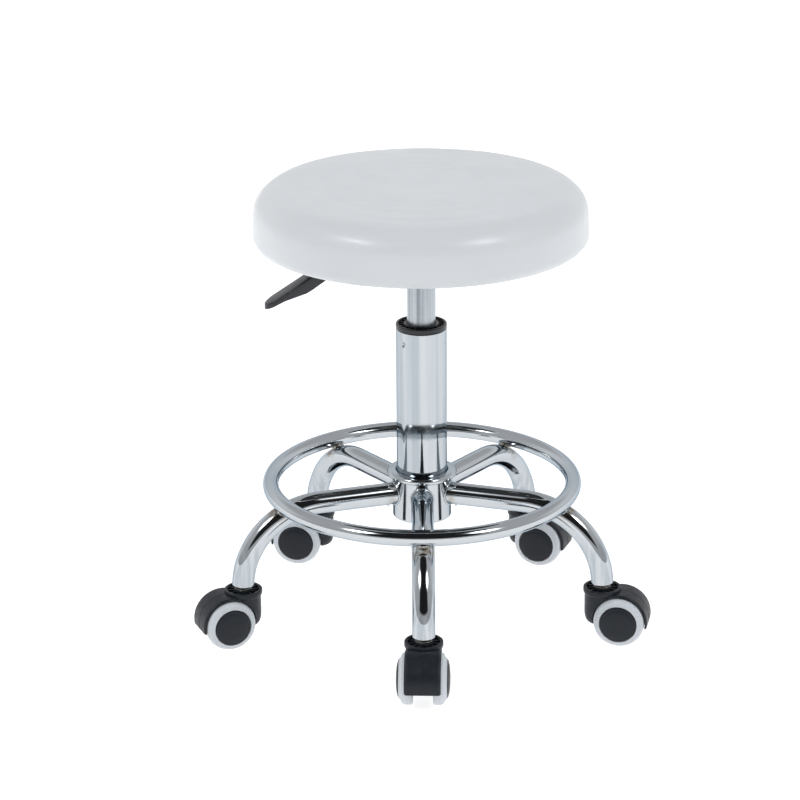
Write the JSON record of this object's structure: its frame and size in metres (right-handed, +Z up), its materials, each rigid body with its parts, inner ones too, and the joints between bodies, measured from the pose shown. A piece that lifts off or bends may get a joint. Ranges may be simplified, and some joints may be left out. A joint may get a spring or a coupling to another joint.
{
  "type": "pedicure stool",
  "caption": "Round padded salon stool on a gas lift with a hand lever, bent-tube base, foot ring and twin-wheel swivel casters.",
  "frame": {"origin": "on the floor, on the axis of the column", "axes": "+Z up; the first leg points to -Y, and the lever points to -X and slightly to -Y"},
  "size_m": [0.4523, 0.4131, 0.45],
  "materials": {
    "seat_leather": "satin",
    "foam": "matte",
    "plywood": "matte",
    "dust_cloth": "matte",
    "black_paint": "satin",
    "black_plastic": "satin",
    "black_nylon": "satin",
    "chrome": "polished",
    "satin_steel": "satin",
    "zinc_steel": "satin",
    "pale_tread": "matte"
  },
  "bodies": {
    "root": {"hub": "chrome", "leg_1": "chrome", "leg_2": "chrome", "leg_3": "chrome", "leg_4": "chrome", "leg_5": "chrome", "foot_ring": "chrome", "column_tube": "chrome", "column_collar": "black_plastic", "thrust_bearing": "zinc_steel"},
    "spindle": {"piston_rod": "zinc_steel"},
    "seat": {"gas_cylinder": "satin_steel", "taper_socket": "black_paint", "seat_plate": "black_paint", "plate_bolt_1": "zinc_steel", "plate_bolt_2": "zinc_steel", "plate_bolt_3": "zinc_steel", "plate_bolt_4": "zinc_steel", "dust_cover": "dust_cloth", "seat_board": "plywood", "seat_foam": "foam", "seat_cover": "seat_leather"},
    "lever": {"lever_rod": "zinc_steel", "lever_handle": "black_plastic"},
    "button": {"release_button": "zinc_steel"},
    "caster_1": {"caster_hood_1": "black_nylon", "caster_stem_1": "zinc_steel", "caster_axle_1": "zinc_steel"},
    "left_wheel_1": {"wheel_left_1": "black_nylon", "tread_left_1": "pale_tread"},
    "right_wheel_1": {"wheel_right_1": "black_nylon", "tread_right_1": "pale_tread"},
    "caster_2": {"caster_hood_2": "black_nylon", "caster_stem_2": "zinc_steel", "caster_axle_2": "zinc_steel"},
    "left_wheel_2": {"wheel_left_2": "black_nylon", "tread_left_2": "pale_tread"},
    "right_wheel_2": {"wheel_right_2": "black_nylon", "tread_right_2": "pale_tread"},
    "caster_3": {"caster_hood_3": "black_nylon", "caster_stem_3": "zinc_steel", "caster_axle_3": "zinc_steel"},
    "left_wheel_3": {"wheel_left_3": "black_nylon", "tread_left_3": "pale_tread"},
    "right_wheel_3": {"wheel_right_3": "black_nylon", "tread_right_3": "pale_tread"},
    "caster_4": {"caster_hood_4": "black_nylon", "caster_stem_4": "zinc_steel", "caster_axle_4": "zinc_steel"},
    "left_wheel_4": {"wheel_left_4": "black_nylon", "tread_left_4": "pale_tread"},
    "right_wheel_4": {"wheel_right_4": "black_nylon", "tread_right_4": "pale_tread"},
    "caster_5": {"caster_hood_5": "black_nylon", "caster_stem_5": "zinc_steel", "caster_axle_5": "zinc_steel"},
    "left_wheel_5": {"wheel_left_5": "black_nylon", "tread_left_5": "pale_tread"},
    "right_wheel_5": {"wheel_right_5": "black_nylon", "tread_right_5": "pale_tread"}
  },
  "joints": [
    {"name": "seat_swivel", "type": "hinge", "parent": "root", "child": "spindle", "pos_m": [0, 0, 0.1193], "axis": [0, 0, 1], "continuous": true},
    {"name": "seat_height", "type": "slide", "parent": "spindle", "child": "seat", "axis": [0, 0, 1], "range_m": [-0.04, 0.08]},
    {"name": "lever_lift", "type": "hinge", "parent": "seat", "child": "lever", "pos_m": [-0.02068, -0.00365, 0.381], "axis": [-0.1736, 0.9848, 0], "range_deg": [0, 6], "stiffness_Nm_per_rad": 3, "springref_deg": -5.73},
    {"name": "release_press", "type": "slide", "parent": "seat", "child": "button", "axis": [0, 0, -1], "range_m": [0, 0.0022]},
    {"name": "caster_swivel_1", "type": "hinge", "parent": "root", "child": "caster_1", "pos_m": [0, -0.186, 0.0554], "axis": [0, 0, 1], "continuous": true},
    {"name": "left_spin_1", "type": "hinge", "parent": "caster_1", "child": "left_wheel_1", "pos_m": [-0.00083, -0.20498, 0.025], "axis": [0.999, -0.0436, 0], "continuous": true},
    {"name": "right_spin_1", "type": "hinge", "parent": "caster_1", "child": "right_wheel_1", "pos_m": [-0.00083, -0.20498, 0.025], "axis": [0.999, -0.0436, 0], "continuous": true},
    {"name": "caster_swivel_2", "type": "hinge", "parent": "root", "child": "caster_2", "pos_m": [0.1769, -0.05748, 0.0554], "axis": [0, 0, 1], "continuous": true},
    {"name": "left_spin_2", "type": "hinge", "parent": "caster_2", "child": "left_wheel_2", "pos_m": [0.19551, -0.0613, 0.025], "axis": [0.2011, 0.9796, 0], "continuous": true},
    {"name": "right_spin_2", "type": "hinge", "parent": "caster_2", "child": "right_wheel_2", "pos_m": [0.19551, -0.0613, 0.025], "axis": [0.2011, 0.9796, 0], "continuous": true},
    {"name": "caster_swivel_3", "type": "hinge", "parent": "root", "child": "caster_3", "pos_m": [0.10933, 0.15048, 0.0554], "axis": [0, 0, 1], "continuous": true},
    {"name": "left_spin_3", "type": "hinge", "parent": "caster_3", "child": "left_wheel_3", "pos_m": [0.12717, 0.14395, 0.025], "axis": [0.3437, 0.9391, 0], "continuous": true},
    {"name": "right_spin_3", "type": "hinge", "parent": "caster_3", "child": "right_wheel_3", "pos_m": [0.12717, 0.14395, 0.025], "axis": [0.3437, 0.9391, 0], "continuous": true},
    {"name": "caster_swivel_4", "type": "hinge", "parent": "root", "child": "caster_4", "pos_m": [-0.10933, 0.15048, 0.0554], "axis": [0, 0, 1], "continuous": true},
    {"name": "left_spin_4", "type": "hinge", "parent": "caster_4", "child": "left_wheel_4", "pos_m": [-0.12809, 0.15345, 0.025], "axis": [-0.1564, -0.9877, 0], "continuous": true},
    {"name": "right_spin_4", "type": "hinge", "parent": "caster_4", "child": "right_wheel_4", "pos_m": [-0.12809, 0.15345, 0.025], "axis": [-0.1564, -0.9877, 0], "continuous": true},
    {"name": "caster_swivel_5", "type": "hinge", "parent": "root", "child": "caster_5", "pos_m": [-0.1769, -0.05748, 0.0554], "axis": [0, 0, 1], "continuous": true},
    {"name": "left_spin_5", "type": "hinge", "parent": "caster_5", "child": "left_wheel_5", "pos_m": [-0.1945, -0.06463, 0.025], "axis": [0.3762, -0.9265, 0], "continuous": true},
    {"name": "right_spin_5", "type": "hinge", "parent": "caster_5", "child": "right_wheel_5", "pos_m": [-0.1945, -0.06463, 0.025], "axis": [0.3762, -0.9265, 0], "continuous": true}
  ],
  "couplings": [
    {"joint": "release_press", "follows": "lever_lift", "m_per_rad": 0.021}
  ]
}
